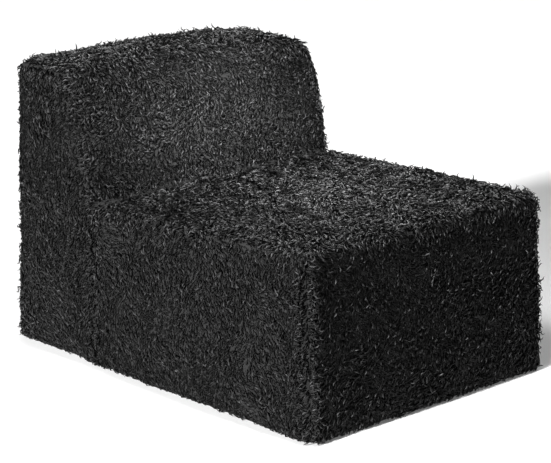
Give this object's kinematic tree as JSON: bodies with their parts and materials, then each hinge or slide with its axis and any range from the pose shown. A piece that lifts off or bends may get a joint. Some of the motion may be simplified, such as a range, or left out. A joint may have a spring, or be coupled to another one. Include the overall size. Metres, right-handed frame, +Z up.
{
  "type": "bean bag chair",
  "caption": "Armless one-seat bean bag lounger: long deep seat and thick slanted backrest in a shaggy dark fur cover, with filled inner liners and zippers.",
  "frame": {"origin": "on the floor, at the middle of the footprint", "axes": "+Z up; +Y from the seat front to the rear, so the sitter faces -Y; +X to the left of the sitter"},
  "size_m": [0.84, 1.14, 0.75],
  "materials": {
    "long_pile_fur": "long-pile faux fur, charcoal black",
    "base_cloth": "plain woven polyester, matte black",
    "liner_cloth": "thin plain-woven lining, off-white",
    "loose_fill": "light foam and bead blend",
    "zipper_tape": "woven twill tape, black",
    "zipper_coil": "nylon coil, black",
    "zipper_metal": "die-cast zinc, black lacquer",
    "label_satin": "blank woven satin label"
  },
  "bodies": {
    "chair": {"back_fill": "loose_fill", "back_liner": "liner_cloth", "back_liner_zip_bottom_stop": "zipper_metal", "back_liner_zip_coil_lower": "zipper_coil", "back_liner_zip_coil_upper": "zipper_coil", "back_liner_zip_tape_lower": "zipper_tape", "back_liner_zip_tape_upper": "zipper_tape", "back_liner_zip_top_stops": "zipper_metal", "back_side_panel_left": "long_pile_fur", "back_side_panel_right": "long_pile_fur", "backrest_front_panel": "long_pile_fur", "base_panel": "base_cloth", "care_label": "label_satin", "compartment_divider": "liner_cloth", "cover_zip_bottom_stop": "zipper_metal", "cover_zip_coil_lower": "zipper_coil", "cover_zip_coil_upper": "zipper_coil", "cover_zip_tape_lower": "zipper_tape", "cover_zip_tape_upper": "zipper_tape", "cover_zip_top_stops": "zipper_metal", "rear_panel_lower": "long_pile_fur", "rear_panel_upper": "long_pile_fur", "seat_fill": "loose_fill", "seat_front_panel": "long_pile_fur", "seat_liner": "liner_cloth", "seat_liner_zip_bottom_stop": "zipper_metal", "seat_liner_zip_coil_lower": "zipper_coil", "seat_liner_zip_coil_upper": "zipper_coil", "seat_liner_zip_tape_lower": "zipper_tape", "seat_liner_zip_tape_upper": "zipper_tape", "seat_liner_zip_top_stops": "zipper_metal", "seat_side_panel_left": "long_pile_fur", "seat_side_panel_right": "long_pile_fur", "seat_top_panel": "long_pile_fur"},
    "cover_zip_slider": {"cover_zip_slider": "zipper_metal"},
    "cover_zip_pull": {"cover_zip_pull": "zipper_metal"},
    "seat_liner_zip_slider": {"seat_liner_zip_slider": "zipper_metal"},
    "back_liner_zip_slider": {"back_liner_zip_slider": "zipper_metal"}
  },
  "joints": [
    {"name": "cover_zip_slide", "type": "slide", "parent": "chair", "child": "cover_zip_slider", "axis": [1, 0, 0], "range_m": [0, 0.5872]},
    {"name": "cover_zip_pull_swing", "type": "hinge", "parent": "cover_zip_slider", "child": "cover_zip_pull", "pos_m": [-0.2936, 0.54894, 0.07939], "axis": [0, -0.0333, 0.9994], "range_deg": [0, 180]},
    {"name": "seat_liner_zip_slide", "type": "slide", "parent": "chair", "child": "seat_liner_zip_slider", "axis": [-1, 0, 0], "range_m": [0, 0.4072]},
    {"name": "back_liner_zip_slide", "type": "slide", "parent": "chair", "child": "back_liner_zip_slider", "axis": [1, 0, 0], "range_m": [0, 0.4072]}
  ]
}
